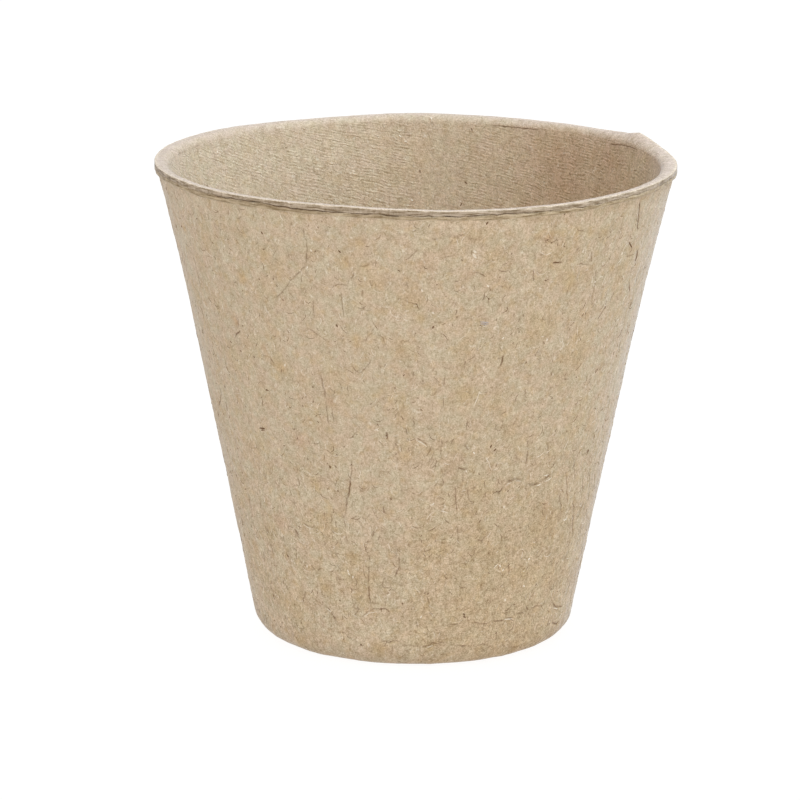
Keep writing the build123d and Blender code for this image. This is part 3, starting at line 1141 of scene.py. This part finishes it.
# Pale bast fibres; some lie along the lifted edges of cracks and creases as painted highlights.
bast_and_highlight_routes = [
    [(480, 391), (477, 399), (474, 406)], [(441, 511), (444, 511.5), (448, 513)],
    [(364, 617), (369, 613), (378, 611.5)], [(546, 252.5), (552, 250)],
    [(303, 524), (308, 527.5), (313, 529.5)], [(416, 440), (422, 443), (427, 447)],
    [(448, 624), (455, 622), (462, 620.5)], [(494, 568), (498, 564)], [(504, 619.4), (512, 618.8)],
    [(553, 607.8), (558, 609)], [(427, 647.5), (433, 645.5)], [(536, 605), (545, 601.5)],
    [(327, 609), (331, 612)], [(374, 431), (379, 428)],
]
outside.place(bark_pixels, length=0.48e-3, half_width=0.24e-3, tone=0.06)
outside.place(speck_pixels, length=0.32e-3, half_width=0.12e-3, tone=0.05)
outside.place(bast_pixels, length=0.45e-3, half_width=0.2e-3, tone=0.97)
# Pale lines on the flaps' lifted edges: painted highlights.
flap_ridge_highlights = [
    [(505.5, 486), (508, 483), (512, 481.5)], [(514, 481), (518, 480.5), (521, 481.5)],
    [(535, 486.3), (541, 483.3)], [(544, 481.3), (547, 480), (551.5, 476.8)],
]
flap_shadow = [[(530, 485.3), (534, 484.8), (538.5, 482.8)]]
# Dark fibre laid along cracks to darken them: partly dirt, partly painted shade.
dark_crack_fill = [
    [(553.5, 260), (559, 260.3)], [(637.3, 249), (636.7, 254), (635.2, 260)],
    [(629.5, 241.5), (632, 246)],
]
# A pale chip high on the wall, a grey fleck at its middle and a dark chip at the left
bast_chip = [[(473.5, 248), (476.5, 250.5)], [(473, 251.5), (476.5, 256)]]
bast_chip_tail = [[(474.5, 256), (477, 261)]]
bast_chip_edge = [[(472, 248), (471.3, 253)]]
grey_fleck = [[(480, 320.5), (489, 321.5)], [(480, 322.5), (488.5, 323)]]
# A painted glint along the grey fleck's lower edge
fleck_glint = [[(482.5, 325), (487, 324.7)]]
fleck_dark_edge = [[(480.5, 324.4), (482.5, 325.4)]]
bark_chip = [[(259.5, 428), (265, 428.6)]]
bark_chip_edge = [[(261, 430.2), (264, 430.2)]]
# Half width, height and tone of what lies along these routes
for routes, half_width, tall, tone in (
    (bast_and_highlight_routes, 0.12e-3, 0.08e-3, 0.92),
    (flap_ridge_highlights, 0.15e-3, 0.28e-3, 0.8),
    (bast_chip, 0.36e-3, 0.12e-3, 0.86),
    (bast_chip_tail, 0.35e-3, 0.1e-3, 0.7),
    (bast_chip_edge, 0.12e-3, 0.1e-3, 0.25),
    (grey_fleck, 0.22e-3, 0.12e-3, 2.0),
    (fleck_glint, 0.18e-3, 0.15e-3, 0.85),
    (fleck_dark_edge, 0.14e-3, 0.13e-3, 0.3),
    (dark_crack_fill, 0.2e-3, 0.09e-3, 0.05),
    (flap_shadow, 0.15e-3, 0.2e-3, 0.15),
    (bark_chip, 0.28e-3, 0.12e-3, 0.08),
    (bark_chip_edge, 0.24e-3, 0.11e-3, 0.15),
):
    outside.trace(routes, half_width, tall, tone)
outside_fibres = outside.shaped("outside_fibres")
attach(outside_fibres, "root")

inside = Litter(inner_depth, -1, screen_lumps)
inside.strew(2400, shortest=0.25e-3, longest=1.0e-3, widths=(0.04e-3, 0.08e-3), tones=(2.4, 1.6))
inside_bark = [(466, 183), (461, 205), (472, 130), (570, 174), (196, 146), (420, 172)]
inside_bast = [(400, 137), (419, 194), (412, 201), (217, 152), (229, 139)]
mouth_bast = [[(429.5, 118), (431.5, 120), (431.5, 123)], [(404, 142), (408, 143.5)]]
inside.place(inside_bark, length=0.6e-3, half_width=0.18e-3, tone=0.1)
inside.place(inside_bast, length=0.45e-3, half_width=0.2e-3, tone=1.0)
inside.trace(mouth_bast, half_width=0.12e-3, tall=0.12e-3, tone=0.9)
inside_fibres = inside.shaped("inside_fibres")
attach(inside_fibres, "root")

# Floor and light
# A plain white sweep with even studio light from all round, a soft key from the upper right and a weak
# fill in front. The sweep glows, so that it stays white right up to the pot's foot.
floor_size = 4
floor_drop = 0.2e-3
floor_mesh = bpy.data.meshes.new("floor")
sides = ((-1, -1), (1, -1), (1, 1), (-1, 1))
corners = [(x * floor_size, y * floor_size, -floor_drop) for x, y in sides]
floor_mesh.from_pydata(corners, [], [(0, 1, 2, 3)])
floor = set_out("floor", floor_mesh)
floor_material, start = blank_material("white_sweep")
start.surface({
    "Base Color": (0.15, 0.15, 0.15, 1),
    "Roughness": 0.8,
    "Emission Color": (1, 1, 1, 1),
    "Emission Strength": 0.92,
})
floor_mesh.materials.append(floor_material)

world = bpy.data.worlds.new("studio")
world.use_nodes = True
sky = world.node_tree.nodes["Background"]
sky.inputs["Color"].default_value = (1, 1, 1, 1)
sky.inputs["Strength"].default_value = 0.6
bpy.context.scene.world = world
pot = bpy.data.collections.new("pot")
for piece in (inner_ply, outer_ply, outside_fibres, inside_fibres):
    pot.objects.link(piece)


def lamp(name, place, size, power, colour):
    """A square soft box aimed at the pot, kept off the floor so that it throws no shadow there."""
    light = bpy.data.lights.new(name, "AREA")
    light.size = size
    light.energy = power
    light.color = colour
    holder = set_out(name, light)
    holder.location = place
    holder.rotation_mode = "QUATERNION"
    holder.rotation_quaternion = (aim - holder.location).to_track_quat("-Z", "Y")
    holder.light_linking.receiver_collection = pot


lamp("key", place=(0.42, 0, 0.88), size=0.5, power=6.3, colour=(0.78, 1.0, 1.2))
lamp("front_fill", place=(0.05, -0.9, 0.35), size=0.6, power=2.0, colour=(1, 1, 1))
bpy.context.scene.view_settings.view_transform = "Standard"
